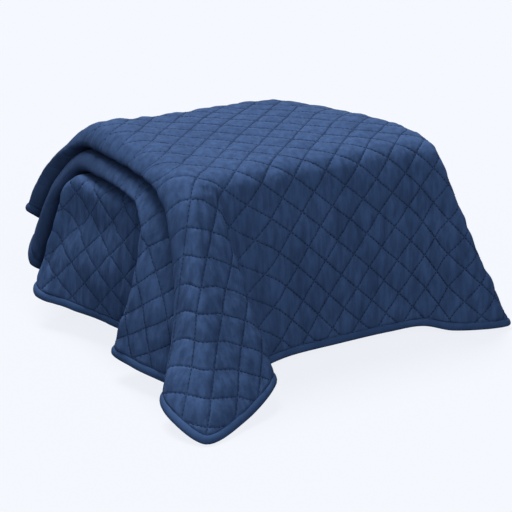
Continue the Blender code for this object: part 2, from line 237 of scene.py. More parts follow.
def smoothstep(low: float, high: float, values: Array) -> Array:
    """A soft rise from 0 at low to 1 at high."""
    share = np.clip((values - low) / (high - low), 0.0, 1.0)
    return share * share * (3.0 - 2.0 * share)


def soften(values: Array, passes: int) -> Array:
    """Spread a grid's values to their neighbours, along and across, and keep the edge rows.

    Args:
        values: Rows, columns and any number of channels.
        passes: How many times each value takes a quarter of both its neighbours.

    Returns:
        The softened grid.
    """
    values = values.copy()
    for _ in range(passes):
        values[1:-1] = (values[:-2] + 2.0 * values[1:-1] + values[2:]) / 4.0
        values[:, 1:-1] = (values[:, :-2] + 2.0 * values[:, 1:-1] + values[:, 2:]) / 4.0
    return values


def loop_travel(points: Array) -> Array:
    """Distances along a closed loop of points, from 0 to its whole length."""
    steps = np.linalg.norm(np.roll(points, -1, axis=0) - points, axis=1)
    return np.concatenate([[0.0], np.cumsum(steps)])


def at_travel(spots: Array, travel: Array, points: Array) -> Array:
    """The places on a line of points at given distances along it."""
    return np.stack([np.interp(spots, travel, points[:, axis]) for axis in range(3)], axis=-1)


class SmoothNoise:
    """Repeatable smooth noise over two coordinates, between -1 and 1."""

    def __init__(self, seed: int, size: int = 64) -> None:
        """Fill a square lattice with seeded values."""
        self.size = size
        self.lattice = np.random.default_rng(seed).uniform(-1.0, 1.0, (size, size))

    def at(self, x: Array, y: Array) -> Array:
        """The noise at each pair of coordinates.

        Args:
            x: First coordinates.
            y: Second coordinates.

        Returns:
            A value for each pair.
        """
        column, row = np.floor(x).astype(int), np.floor(y).astype(int)
        along, up = x - column, y - row
        along = along**3 * (along * (along * 6.0 - 15.0) + 10.0)
        up = up**3 * (up * (up * 6.0 - 15.0) + 10.0)
        wrap = self.size
        corners = [
            self.lattice[(row + down) % wrap, (column + right) % wrap]
            for down in (0, 1)
            for right in (0, 1)
        ]
        low = corners[0] + (corners[1] - corners[0]) * along
        high = corners[2] + (corners[3] - corners[2]) * along
        return low + (high - low) * up


def grid_faces(rows: int, columns: int, start: int = 0, flip: bool = False) -> Faces:
    """Quads of a grid of points.

    Args:
        rows: Rows of points.
        columns: Columns of points.
        start: Index of the grid's first point.
        flip: Turns the quads over.

    Returns:
        The quads' corners.
    """
    faces = []
    for row in range(rows - 1):
        for column in range(columns - 1):
            corner = start + row * columns + column
            quad = (corner, corner + columns, corner + columns + 1, corner + 1)
            faces.append(quad[::-1] if flip else quad)
    return faces


def ring_faces(rings: int, width: int) -> Faces:
    """Quads of a closed tube: rings of points that follow each other in a closed loop.

    Args:
        rings: How many rings there are.
        width: Points in a ring.

    Returns:
        The quads' corners.
    """
    return [
        (
            ring * width + spot,
            ring * width + (spot + 1) % width,
            (ring + 1) % rings * width + (spot + 1) % width,
            (ring + 1) % rings * width + spot,
        )
        for ring in range(rings)
        for spot in range(width)
    ]


def new_piece(name: str, points: Array, faces: Faces, finish: "Finish") -> bpy.types.Object:
    """Link a smooth mesh to the scene as an object of the same name.

    Args:
        name: The piece's name.
        points: Its points.
        faces: Its faces.
        finish: What it is made of.

    Returns:
        The piece's object.
    """
    mesh = bpy.data.meshes.new(name)
    mesh.from_pydata(points.tolist(), [], faces)
    mesh.update()
    mesh.shade_smooth()
    mesh.materials.append(finish.build())
    piece = bpy.data.objects.new(name, mesh)
    bpy.context.scene.collection.objects.link(piece)
    return piece


def carry_stitching(piece: bpy.types.Object, sewn: Array) -> None:
    """Give a piece's points their stitching coordinates and fullness, for its material."""
    layer = piece.data.attributes.new(STITCH_LAYER, "FLOAT_VECTOR", "POINT")
    layer.data.foreach_set("vector", sewn.ravel())


# The drape ----------------------------------------------------------------------------------


@dataclass(frozen=True)
class Drape:
    """The smooth outer face of the cloth, worked out from the sections."""

    # Faces along the six straight runs of a section
    run_steps: tuple[int, ...] = (30, 24, 17, 14, 15, 18)
    bend_steps: tuple[int, ...] = (31, 24, 36, 18, 19)  # Faces along its five bends
    row_spacing: float = 0.0072  # Wanted distance between rows, in metres
    spacing_quantile: float = 0.7  # The spacing holds for this share of the columns
    step_multiple: int = 3  # Steps between two sections are a multiple of this
    knee_bend: float = 0.10  # Reach of the knee's rounding
    crown_bend: float = 0.20  # Reach of the crown's rounding
    far_bend_ratio: float = 1.1  # Far shoulder's rounding over the near one's
    largest_share: float = 0.45  # Most of a run that one bend may take

    def line(self, section: Section) -> Array:
        """A section as a line of points, the same number for every section.

        Args:
            section: The section.

        Returns:
            Its points, from the near hem to the far one.
        """
        near = [np.array(point) for point in section.near]
        far = [np.array(point) for point in reversed(section.far)]
        crown = (near[2] + far[0]) / 2.0 + np.array((0.0, 0.0, section.crown))
        corners = near + [crown] + far
        lengths = [float(np.linalg.norm(b - a)) for a, b in zip(corners, corners[1:])]
        far_bend = section.bend * self.far_bend_ratio
        reaches = (self.knee_bend, section.bend, self.crown_bend, far_bend, self.knee_bend)
        points = [corners[0][None]]
        here = corners[0]
        for index, wanted in enumerate(reaches):
            corner = corners[index + 1]
            shortest = min(lengths[index], lengths[index + 1])
            reach = min(wanted, self.largest_share * shortest)
            start = corner + (corners[index] - corner) * reach / lengths[index]
            end = corner + (corners[index + 2] - corner) * reach / lengths[index + 1]
            points.append(self.run(here, start, self.run_steps[index]))
            points.append(self.rounding(start, corner, end, self.bend_steps[index]))
            here = end
        points.append(self.run(here, corners[-1], self.run_steps[-1]))
        return np.vstack(points)

    @staticmethod
    def run(start: Array, end: Array, steps: int) -> Array:
        """Points of a straight run, without its start."""
        share = np.linspace(0.0, 1.0, steps + 1)[1:, None]
        return start + (end - start) * share

    @staticmethod
    def rounding(start: Array, corner: Array, end: Array, steps: int) -> Array:
        """Points of a parabola that rounds off a corner, without its start.

        Args:
            start: Where the rounding starts.
            corner: The corner.
            end: Where the rounding ends.
            steps: How many points there are.

        Returns:
            The points.
        """
        share = np.linspace(0.0, 1.0, steps + 1)[1:, None]
        back = 1.0 - share
        return back**2 * start + 2.0 * share * back * corner + share**2 * end

    def anchors(self) -> list[int]:
        """The columns of the near hem, both shoulders and the far hem.

        Returns:
            Four columns, in that order.
        """
        runs, bends = self.run_steps, self.bend_steps
        near_top = sum(runs[:2]) + bends[0] + bends[1] // 2
        far_top = sum(runs[:4]) + sum(bends[:3]) + bends[3] // 2
        return [0, near_top, far_top, sum(runs) + sum(bends)]

    @staticmethod
    def between(rows: Sequence[Array], guides: Sequence[Array], share: float) -> Array:
        """A point of the centripetal Catmull-Rom curve between the middle two of four rows.

        Args:
            rows: Four rows of values to blend.
            guides: The four rows of places that set the curve's knots.
            share: How far from the second row to the third.

        Returns:
            The blended row.
        """
        knots = [np.zeros(len(guides[0]))]
        for start, end in zip(guides, guides[1:]):
            gap = np.linalg.norm(end - start, axis=1)
            knots.append(knots[-1] + np.sqrt(np.maximum(gap, LEAST_GAP)))
        here = knots[1] + (knots[2] - knots[1]) * share

        def mix(a: Array, b: Array, first: int, last: int) -> Array:
            """Blend two rows by where the point lies between two knots."""
            weight = ((here - knots[first]) / (knots[last] - knots[first]))[:, None]
            return a * (1.0 - weight) + b * weight

        low = mix(rows[0], rows[1], 0, 1)
        middle = mix(rows[1], rows[2], 1, 2)
        high = mix(rows[2], rows[3], 2, 3)
        return mix(mix(low, middle, 0, 2), mix(middle, high, 1, 3), 1, 2)

    def surface(self, stitch_rule: "StitchRule") -> tuple[Array, Array]:
        """Places and stitching coordinates of the whole cloth.

        Args:
            stitch_rule: Gives the stitching coordinates of one section's points.

        Returns:
            A grid of places and a grid of stitching coordinates.
        """
        lines = [self.line(section) for section in SECTIONS]
        sewn = [stitch_rule.along(s, line, self.anchors()) for s, line in zip(SECTIONS, lines)]
        lines, sewn = (
            [2.0 * rows[0] - rows[1], *rows, 2.0 * rows[-1] - rows[-2]] for rows in (lines, sewn)
        )
        places, stitches = [lines[1]], [sewn[1]]
        for index in range(1, len(lines) - 2):
            gap = np.linalg.norm(lines[index + 1] - lines[index], axis=1)
            wide = float(np.quantile(gap, self.spacing_quantile))
            groups = round(wide / self.row_spacing / self.step_multiple)
            steps = self.step_multiple * max(1, groups)
            guides, values = (rows[index - 1:index + 3] for rows in (lines, sewn))
            for step in range(1, steps + 1):
                places.append(self.between(guides, guides, step / steps))
                stitches.append(self.between(values, guides, step / steps))
        return np.array(places), np.array(stitches)


@dataclass(frozen=True)
class StitchRule:
    """How the stitching's coordinates lie on the cloth.

    Stitch lines run where the sum or the difference of the two coordinates is a whole number.
    On the end panel both follow from a point's depth and height.
    """

    # First coordinate there, as its value at the floor's middle, and its rise with each metre of
    # depth and of height
    rows: Point = (-5.37, 1.28, 9.89)
    columns: Point = (2.55, 8.87, -1.50)  # Second coordinate there, in the same way

    def along(self, section: Section, line: Array, anchors: Sequence[int]) -> Array:
        """The stitching coordinates of a section's points, and the padding's fullness.

        Args:
            section: The section.
            line: Its points.
            anchors: The columns where the section states them.

        Returns:
            Two coordinates and the fullness for each point.
        """
        steps = np.linalg.norm(np.diff(line, axis=0), axis=1)
        length = np.concatenate([[0.0], np.cumsum(steps)])
        fullness = np.interp(length, length[anchors], section.fullness)
        if section.stitch is None:
            rules = (self.rows, self.columns)
            pair = [rule[0] + line[:, 1:] @ np.array(rule[1:]) for rule in rules]
        else:
            stated = np.array(section.stitch)
            pair = [np.interp(length, length[anchors], stated[:, axis]) for axis in (0, 1)]
        return np.stack([*pair, fullness], axis=-1)


# Relief of the quilting ---------------------------------------------------------------------


@dataclass(frozen=True)
class Crease:
    """A soft trough or ridge across the cloth, between two places in stitching coordinates."""

    start: Pair  # Where it begins, in stitching coordinates
    end: Pair  # Where it fades out
    height: float  # Its height in metres, below zero for a trough
    width: float  # How far it spreads, in stitching units
    loss: float = 0.7  # How much of its height is lost at the end

    def relief(self, stitches: Array) -> Array:
        """Its height at each point of the cloth.

        Args:
            stitches: The points' stitching coordinates.

        Returns:
            Heights in metres.
        """
        start, end = np.array(self.start), np.array(self.end)
        run = end - start
        share = np.clip((stitches - start) @ run / (run @ run), 0.0, 1.0)
        away = np.linalg.norm(stitches - (start + share[..., None] * run), axis=-1)
        fade = 1.0 - self.loss * share
        return self.height * fade * np.exp(-((away / self.width) ** 2))


@dataclass(frozen=True)
class Puckers:
    """The small upright puckers that run down the hanging sides."""

    width: float = 0.013  # Width of a pucker, in metres
    length: float = 0.075  # Its length
    # Seeds of the puckers that lie side by side along X and along Y, of their wandering and of the
    # finer ones
    seeds: tuple[int, int] = (13, 14)
    sway_seeds: tuple[int, int] = (33, 34)
    fine_seeds: tuple[int, int] = (23, 24)
    sway: float = 0.8  # How far they wander, in their own widths
    sway_rate: Pair = (0.3, 0.8)  # Rates of the wandering, across and down
    fine: float = 0.3  # Height of the finer ones between them, as a share
    fine_rate: Pair = (2.2, 1.8)  # How much finer those are, across and down
    facing_power: float = 1.5  # How fast they fade where the cloth turns away

    def at(self, places: Array, normals: Array) -> Array:
        """Their height, between -1 and 1.

        Args:
            places: The cloth's points.
            normals: Their outward normals.

        Returns:
            A value for each point, near 0 where the cloth lies flat.
        """
        total = np.zeros(places.shape[:2])
        seeds = zip(self.seeds, self.sway_seeds, self.fine_seeds)
        for axis, (seed, sway_seed, fine_seed) in enumerate(seeds):
            across, down = places[..., axis] / self.width, places[..., 2] / self.length
            wander = SmoothNoise(sway_seed).at(across * self.sway_rate[0], down * self.sway_rate[1])
            ripple = SmoothNoise(seed).at(across + self.sway * wander, down)
            fine = SmoothNoise(fine_seed).at(across * self.fine_rate[0], down * self.fine_rate[1])
            facing = np.abs(normals[..., 1 - axis])
            total += (ripple + self.fine * fine) * facing**self.facing_power
        return total


@dataclass(frozen=True)
class Quilting:
    """How the padding rises between the stitch lines."""

    puff: float = 0.0054  # Height of a square's middle over its stitches, in metres
    roundness: float = 0.75  # Below 1, the square rises faster beside its stitches
    unevenness: float = 0.22  # How much the squares' heights differ
    unevenness_rate: float = 1.1  # Rate of that, to one stitching unit
    unevenness_seed: int = 11  # Its seed
    ripple: float = 0.0056  # Height of the small puckers
    held_ripple: float = 0.2  # Their share on a stitch line
    puckers: Puckers = Puckers()  # Their shape
    wave: float = 0.0022  # Height of the wide, soft waves
    wave_rate: Pair = (0.8, 0.45)  # Waves to one stitching unit
    wave_seed: int = 15  # Their seed
    wave_fade: Pair = (0.0, 0.12)  # Distances from the hem where the waves start and are full
    edge_fade: Pair = (0.018, 0.034)  # Distances from the hem where the padding starts and is full
    # The main creases, given one by one
    creases: tuple[Crease, ...] = (
        Crease((0.05, -0.45), (0.35, -1.05), -0.0050, 0.13),
        Crease((0.30, -0.40), (0.62, -1.10), 0.0030, 0.14),
    )

    def height(self, face: "ClothFace") -> Array:
        """The padding's height over the smooth cloth.

        Args:
            face: The smooth cloth with its stitching.

        Returns:
            Heights in metres.
        """
        across, along, fullness = (face.stitches[..., channel] for channel in range(3))
        one = np.abs(np.sin(np.pi * (across + along)))
        other = np.abs(np.sin(np.pi * (across - along)))
        held = (one * other) ** self.roundness
        rate = self.unevenness_rate
        noise = SmoothNoise(self.unevenness_seed).at(across * rate, along * rate)
        uneven = 1.0 + self.unevenness * noise
        padding = self.puff * held * uneven
        free = self.held_ripple + (1.0 - self.held_ripple) * held
        puckers = self.ripple * self.puckers.at(face.places, face.normals) * free
        wave_across, wave_along = self.wave_rate
        noise = SmoothNoise(self.wave_seed).at(across * wave_across, along * wave_along)
        waves = self.wave * noise
        fade = smoothstep(*self.edge_fade, face.hem_distance) * fullness
        total = (padding + puckers) * fade + waves * smoothstep(*self.wave_fade, face.hem_distance)
        for crease in self.creases:
            total = total + crease.relief(face.stitches[..., :2]) * fade
        return total


# Shader expressions -------------------------------------------------------------------------


class Colour(Enum):
    """The cloth's, the block's and the studio's colours, in linear light."""

    NAVY = (0.052, 0.098, 0.216)
    NAVY_DEEP = (0.042, 0.081, 0.182)
    # Dark colour of the thread and the sewn lines; on the cloth it is partly painted shade of the
    # groove
    DITCH = (0.010, 0.022, 0.058)
    # Colour of painted shade, for the pleats and for upright streaks
    PLEAT = (0.018, 0.034, 0.080)
    TAPE = (0.042, 0.084, 0.185)
    TAPE_DEEP = (0.030, 0.061, 0.143)
    THREAD = (0.010, 0.019, 0.048)
    TICKING = (0.560, 0.550, 0.520)
    TICKING_STRIPE = (0.300, 0.320, 0.350)
    FLOOR = (0.065, 0.065, 0.065)
    FLOOR_GLOW = (0.812, 0.837, 0.887)
    BACKDROP = (0.905, 0.930, 0.983)
    SURROUND = (0.055, 0.080, 0.125)

    @property
    def paint(self) -> tuple[float, float, float, float]:
        """The colour as a socket takes it."""
        return (*self.value, 1.0)


class Grain(Enum):
    """The ways of the woven threads, as the axes that they lie side by side along."""

    WARP = "X"
    WEFT = "Z"


class Wire:
    """A node's output as a value in an expression."""

    def __init__(self, nodes: "Nodes", socket: bpy.types.NodeSocket) -> None:
        """Keep the socket and the nodes that it belongs to."""
        self.nodes = nodes
        self.socket = socket

    def maths(self, operation: str, *values: Operand) -> "Wire":
        """A Math node on this value and others."""
        return self.nodes.node("ShaderNodeMath", {"operation": operation}, self, *values)

    def __add__(self, other: Operand) -> "Wire":
        """Sum."""
        return self.maths("ADD", other)

    __radd__ = __add__

    def __sub__(self, other: Operand) -> "Wire":
        """Difference."""
        return self.maths("SUBTRACT", other)

    def __rsub__(self, other: Number) -> "Wire":
        """Difference from a number."""
        return self.nodes.node("ShaderNodeMath", {"operation": "SUBTRACT"}, other, self)

    def __mul__(self, other: Operand) -> "Wire":
        """Product."""
        return self.maths("MULTIPLY", other)

    __rmul__ = __mul__

    def __truediv__(self, other: Operand) -> "Wire":
        """Quotient."""
        return self.maths("DIVIDE", other)

    def __abs__(self) -> "Wire":
        """Size without sign."""
        return self.maths("ABSOLUTE")

    def off_centre(self) -> "Wire":
        """Distance from the middle between two whole numbers, from 0 to 0.5."""
        return abs(self.maths("FRACT") - 0.5)

    def least(self, other: Operand) -> "Wire":
        """The smaller of two."""
        return self.maths("MINIMUM", other)

    def sibling(self, out: int) -> "Wire":
        """Another output of the same node."""
        return Wire(self.nodes, self.socket.node.outputs[out])

    def soft_steps(self, low: float, high: float) -> "Wire":
        """A soft rise from 0 at low to 1 at high."""
        settings = {"interpolation_type": "SMOOTHSTEP"}
        return self.nodes.node("ShaderNodeMapRange", settings, self, low, high, 0.0, 1.0)

    def between(self, low: float, high: float) -> "Wire":
        """A share from 0 to 1 as a value between two limits."""
        return low + (high - low) * self


class Nodes:
    """A node tree, written as expressions."""

    def __init__(self, tree: bpy.types.NodeTree) -> None:
        """Keep the tree."""
        self.tree = tree

    def plug(self, socket: bpy.types.NodeSocket, value: Any) -> None:
        """Link a wire to an input, or set the input to a colour or a plain value.

        Args:
            socket: The input.
            value: What goes into it, or None to leave it as it is.
        """
        if isinstance(value, Wire):
            self.tree.links.new(value.socket, socket)
        elif isinstance(value, Colour):
            socket.default_value = value.paint
        elif value is not None:
            socket.default_value = value

    def node(
        self, kind: str, settings: dict[str, Any], *values: Any, out: Any = 0, **named: Any
    ) -> Wire:
        """Add any node.

        Args:
            kind: The node's type.
            settings: Its settings, set before its sockets.
            *values: Values or wires of its inputs in order.
            out: The output to return, by index or name.
            **named: Inputs by name, with _ for a space.

        Returns:
            The chosen output.
        """
        node = self.tree.nodes.new(kind)
        for name, value in settings.items():
            setattr(node, name, value)
        for socket, value in zip(node.inputs, values):
            self.plug(socket, value)
        self.fill(node, named)
        return Wire(self, node.outputs[out])

    def fill(self, node: bpy.types.Node, named: dict[str, Any]) -> None:
        """Set or link a node's inputs by name, with _ for a space."""
        for name, value in named.items():
            self.plug(node.inputs[name.replace("_", " ")], value)


class Shader(Nodes):
    """A material's nodes."""

    def __init__(self, name: str) -> None:
        """Start a material with its Principled shader.

        Args:
            name: The material's name.
        """
        self.material = bpy.data.materials.new(name)
        self.material.use_nodes = True
        super().__init__(self.material.node_tree)

    def feed(self, **inputs: Any) -> None:
        """Set or link the Principled shader's inputs, by name with _ for a space."""
        self.fill(self.tree.nodes["Principled BSDF"], inputs)

    def mix(self, low: Tint, high: Tint, share: Wire) -> Wire:
        """Blend two colours.

        Args:
            low: The colour where the share is 0.
            high: The colour where the share is 1.
            share: How much of the second colour there is.

        Returns:
            The blended colour.
        """
        values = (share, *MIX_UNUSED, low, high)
        return self.node("ShaderNodeMix", {"data_type": "RGBA"}, *values, out=MIX_OUTPUT)

    @cached_property
    def place(self) -> Wire:
        """Coordinates on the object, in metres."""
        return self.node("ShaderNodeTexCoord", {}, out="Object")

    @cached_property
    def stitching(self) -> tuple[Wire, Wire, Wire]:
        """Distances from both families of stitch lines, and the padding's fullness.

        Returns:
            Both distances, from 0 to half of a square, and the fullness.
        """
        sewn = self.node("ShaderNodeAttribute", {"attribute_name": STITCH_LAYER}, out="Vector")
        across = self.node("ShaderNodeSeparateXYZ", {}, sewn)
        along, fullness = across.sibling(1), across.sibling(2)
        one, other = across + along + 0.5, across - along + 0.5
        return one.off_centre(), other.off_centre(), fullness

    def bump(self, height: Wire, depth: float, strength: float = 1.0, **below: Wire) -> Wire:
        """A Bump node on a height between 0 and 1, over the relief below it if any.

        Args:
            height: The height.
            depth: Its size in metres.
            strength: How strongly it shows.
            **below: The relief below it, as Normal, if any.

        Returns:
            The normal with the bumps on it.
        """
        return self.node(
            "ShaderNodeBump", {}, Strength=strength, Distance=depth, Height=height, **below
        )


@dataclass(frozen=True)
class Spots:
    """Uneven spots over a surface, from 0 to 1."""

    scale: float  # Spots to a metre
    detail: float = 2.0  # How many finer layers are added
    finer: float = 0.5  # Strength of the finer layers
    # The values that a soft rise stretches to 0 and 1, or None for no stretching
    steps: Union[Pair, None] = None
    # How much the spots are squeezed along X, Y and Z, or None for round ones
    squeeze: Union[Point, None] = None

    def on(self, shader: Shader) -> Wire:
        """The spots on a shader's surface.

        Args:
            shader: The shader that they are added to.

        Returns:
            A value from 0 to 1.
        """
        place = shader.place
        if self.squeeze:
            place = shader.node("ShaderNodeMapping", {}, Vector=place, Scale=self.squeeze)
        layers = {"Scale": self.scale, "Detail": self.detail, "Roughness": self.finer}
        spots = shader.node("ShaderNodeTexNoise", {}, Vector=place, **layers)
        return spots.soft_steps(*self.steps) if self.steps else spots


class StainOrShade(NamedTuple):
    """Spots of another colour, real stains or painted shade, and how strong they are."""

    colour: Colour
    share: float
    spots: Spots

    def over(self, shader: Shader, cloth: Tint) -> Wire:
        """A colour with the spots on it."""
        return shader.mix(cloth, self.colour, self.spots.on(shader) * self.share)


class Relief(NamedTuple):
    """Small bumps, with their height in metres and how strongly they show."""

    height: float
    strength: float
    spots: Spots

    def over(self, shader: Shader, **below: Wire) -> Wire:
        """A normal with the bumps on it."""
        return shader.bump(self.spots.on(shader), self.height, self.strength, **below)


# Finishes -----------------------------------------------------------------------------------


@dataclass(frozen=True)
class Finish:
    """What every finish has."""

    name: str  # The material's name
    base: Colour  # The colour below all stains and painted shade
    roughness: Pair  # Least and most roughness
    uneven: Spots  # Spots that vary the roughness
    specular: float  # Strength of the highlight
    relief: Union[Relief, None] = None  # Small bumps of the surface, or None for a smooth one
    stains_and_shade: tuple[StainOrShade, ...] = ()  # Spots of other colours, real stains or painted shade, from the lowest
    sheen: float = 0.0  # Weight of the soft bloom
    sheen_spread: float = 0.45  # Its spread
    glow: Union[Colour, None] = None  # Colour of its own light, or None

    def build(self) -> bpy.types.Material:
        """The material.

        Returns:
            The material with this finish's nodes.
        """
        shader = Shader(self.name)
        shader.feed(
            Base_Color=self.colour(shader),
            Roughness=self.uneven.on(shader).between(*self.roughness),
            Specular_IOR_Level=self.specular,
        )
        if self.relief:
            shader.feed(Normal=self.normal(shader))
        if self.sheen:
            shader.feed(Sheen_Weight=self.sheen, Sheen_Roughness=self.sheen_spread)
        if self.glow:
            shader.feed(Emission_Color=self.glow, Emission_Strength=1.0)
        return shader.material

    def colour(self, shader: Shader) -> Tint:
        """The colour all over."""
        return self.stained_and_shaded(shader, self.base)

    def stained_and_shaded(self, shader: Shader, colour: Tint) -> Tint:
        """A colour with all the stains and painted shade on it.

        Args:
            shader: The shader that they are added to.
            colour: The colour below them.

        Returns:
            The colour seen.
        """
        for stain_or_shade in self.stains_and_shade:
            colour = stain_or_shade.over(shader, colour)
        return colour

    def normal(self, shader: Shader) -> Wire:
        """The relief of the surface."""
        return self.relief.over(shader)


@dataclass(frozen=True)
class BindingTape(Finish):
    """Smooth navy tape with small puckers, with painted shade that darkens it where the padding's
    fullness is low, in the pleats.
    """

    name: str = "navy_binding_tape"
    base: Colour = Colour.TAPE_DEEP
    roughness: Pair = (0.68, 0.84)
    uneven: Spots = Spots(70.0, 3.0)
    specular: float = 0.04
    relief: Relief = Relief(0.0010, 0.5, Spots(85.0, 3.0, 0.6))
    stains_and_shade: tuple[StainOrShade, ...] = (
        StainOrShade(Colour.TAPE, 1.0, Spots(14.0, 3.0, steps=(0.3, 0.7))),
        StainOrShade(Colour.TAPE_DEEP, 0.4, Spots(380.0)),
    )
    sheen: float = 0.01
    # Fullness at which the painted pleat shade is darkest, and where the cloth has its own colour
    pleat_shade_steps: Pair = (0.0, 0.68)

    def colour(self, shader: Shader) -> Wire:
        """The colour, with painted shade in the pleats."""
        # Painted shade: the colour goes towards the shade colour where the fullness is low, as in
        # the pleats.
        free = shader.stitching[2].soft_steps(*self.pleat_shade_steps)
        return shader.mix(Colour.PLEAT, super().colour(shader), free)


@dataclass(frozen=True)
class QuiltedCotton(BindingTape):
    """Finely woven navy cotton with dark sewn ditches, whose darkness is partly painted shade, and
    with painted shade beside them, in the pleats and in upright streaks.
    """

    name: str = "navy_quilted_cotton"
    base: Colour = Colour.NAVY_DEEP
    roughness: Pair = (0.74, 0.90)
    uneven: Spots = Spots(60.0, 3.0)
    relief: Relief = Relief(0.0020, 0.6, Spots(62.0, 4.0, 0.6))
    stains_and_shade: tuple[StainOrShade, ...] = (
        StainOrShade(Colour.NAVY, 1.0, Spots(9.0, 4.0, steps=(0.3, 0.7))),
        StainOrShade(Colour.NAVY_DEEP, 0.35, Spots(420.0, steps=(0.35, 0.75))),
        # Upright streaks of painted shade, standing in for the shading of the small puckers
        StainOrShade(Colour.PLEAT, 0.50, Spots(55.0, 3.0, 0.6, (0.32, 0.68), (1.0, 1.0, 0.18))),
    )
    # Where the dark sewn line is full and gone, in widths of a square from its middle; its darkness
    # is partly the thread's line and partly painted shade of the groove
    ditch: Pair = (0.004, 0.016)
    ditch_share: float = 0.42  # How dark it is
    shade: Pair = (0.010, 0.060)  # Where the painted shade beside it is full and gone
    shade_share: float = 0.16  # How dark that is
    valley_width: float = 0.050  # Half width of the sewn valley, in widths of a square
    valley_depth: float = 0.0031  # Depth of that valley, in metres
    # Spots where the thread pulls harder on the valley
    pull: Spots = Spots(75.0, steps=(0.25, 0.75))
    pull_limits: Pair = (0.4, 1.0)  # Least and most of that pull
    weave: float = 45.0  # Scale of the woven threads
    weave_wander: float = 0.6  # How unevenly they run
    weave_height: float = 0.00012  # Height of the weave
    weave_strength: float = 0.5  # Strength of its relief

    def colour(self, shader: Shader) -> Wire:
        """The colour, with painted shade in the pleats, along the sewn lines and beside them.

        Args:
            shader: The shader that it is added to.

        Returns:
            The colour seen.
        """
        one, other, fullness = shader.stitching
        nearest = one.least(other)
        ditch = (1.0 - nearest.soft_steps(*self.ditch)) * self.ditch_share
        shade = (1.0 - nearest.soft_steps(*self.shade)) * self.shade_share
        # Painted shade along and beside the sewn lines; the narrow dark line also stands for the
        # thread's line.
        return shader.mix(super().colour(shader), Colour.DITCH, (ditch + shade) * fullness)

    def normal(self, shader: Shader) -> Wire:
        """The sewn valleys, the uneven face and the weave.

        Args:
            shader: The shader that they are added to.

        Returns:
            The normal of the surface.
        """
        *lines, fullness = shader.stitching
        pull = self.pull.on(shader).between(*self.pull_limits)
        one, other = (1.0 - self.pit(line) * pull for line in lines)
        valleys = shader.bump(one * other * fullness, self.valley_depth)
        uneven = self.relief.over(shader, Normal=valleys)
        weave = self.threads(shader, Grain.WARP) * self.threads(shader, Grain.WEFT)
        return shader.bump(weave, self.weave_height, self.weave_strength, Normal=uneven)

    def pit(self, distance: Wire) -> Wire:
        """1 on a stitch line, falling softly to 0 beside it."""
        share = distance / self.valley_width
        return (share * share * -1.0).maths("EXPONENT")

    def threads(self, shader: Shader, grain: Grain) -> Wire:
        """One way's threads of the plain weave.

        Args:
            shader: The shader that they are added to.
            grain: Their way.

        Returns:
            1 on the middle of a thread and 0 between two.
        """
        settings = {"wave_type": "BANDS", "bands_direction": grain.value}
        sizes = {"Scale": self.weave, "Distortion": self.weave_wander}
        return shader.node("ShaderNodeTexWave", settings, Vector=shader.place, **sizes)


@dataclass(frozen=True)
class SewingThread(Finish):
    """Dark twisted thread."""

    name: str = "dark_thread"
    base: Colour = Colour.THREAD
    roughness: Pair = (0.55, 0.75)
    uneven: Spots = Spots(900.0, 1.0)
    specular: float = 0.05
    relief: Relief = Relief(0.0003, 0.5, Spots(900.0, 1.0))
    stains_and_shade: tuple[StainOrShade, ...] = (StainOrShade(Colour.DITCH, 1.0, Spots(900.0, 1.0)),)


@dataclass(frozen=True)
class Ticking(Finish):
    """Pale striped ticking of the bed block."""

    name: str = "pale_ticking"
    base: Colour = Colour.TICKING
    roughness: Pair = (0.80, 0.95)
    uneven: Spots = Spots(700.0)
    specular: float = 0.5
    relief: Relief = Relief(0.0004, 0.6, Spots(700.0))
    stains_and_shade: tuple[StainOrShade, ...] = (
        StainOrShade(Colour.TICKING_STRIPE, 0.15, Spots(12.0, 4.0, steps=(0.35, 0.75))),
    )
    stripe_spacing: float = 0.024  # Distance between stripes
    # Where a stripe starts and is full, in spacings from the middle between two
    stripe_edge: Pair = (0.40, 0.44)
    stripe_share: float = 0.7  # How dark a stripe is

    def colour(self, shader: Shader) -> Wire:
        """The colour, striped and stained.

        Args:
            shader: The shader that it is added to.

        Returns:
            The colour seen.
        """
        across = shader.node("ShaderNodeSeparateXYZ", {}, shader.place) / self.stripe_spacing
        stripe = across.off_centre().soft_steps(*self.stripe_edge) * self.stripe_share
        return self.stained_and_shaded(shader, shader.mix(self.base, Colour.TICKING_STRIPE, stripe))


@dataclass(frozen=True)
class StudioFloor(Finish):
    """Plain pale floor paint, which glows so that it stays pale."""

    name: str = "pale_floor"
    base: Colour = Colour.FLOOR
    roughness: Pair = (0.78, 0.90)
    uneven: Spots = Spots(3.0)
    specular: float = 0.0
    glow: Colour = Colour.FLOOR_GLOW


# Pieces of the bedspread --------------------------------------------------------------------


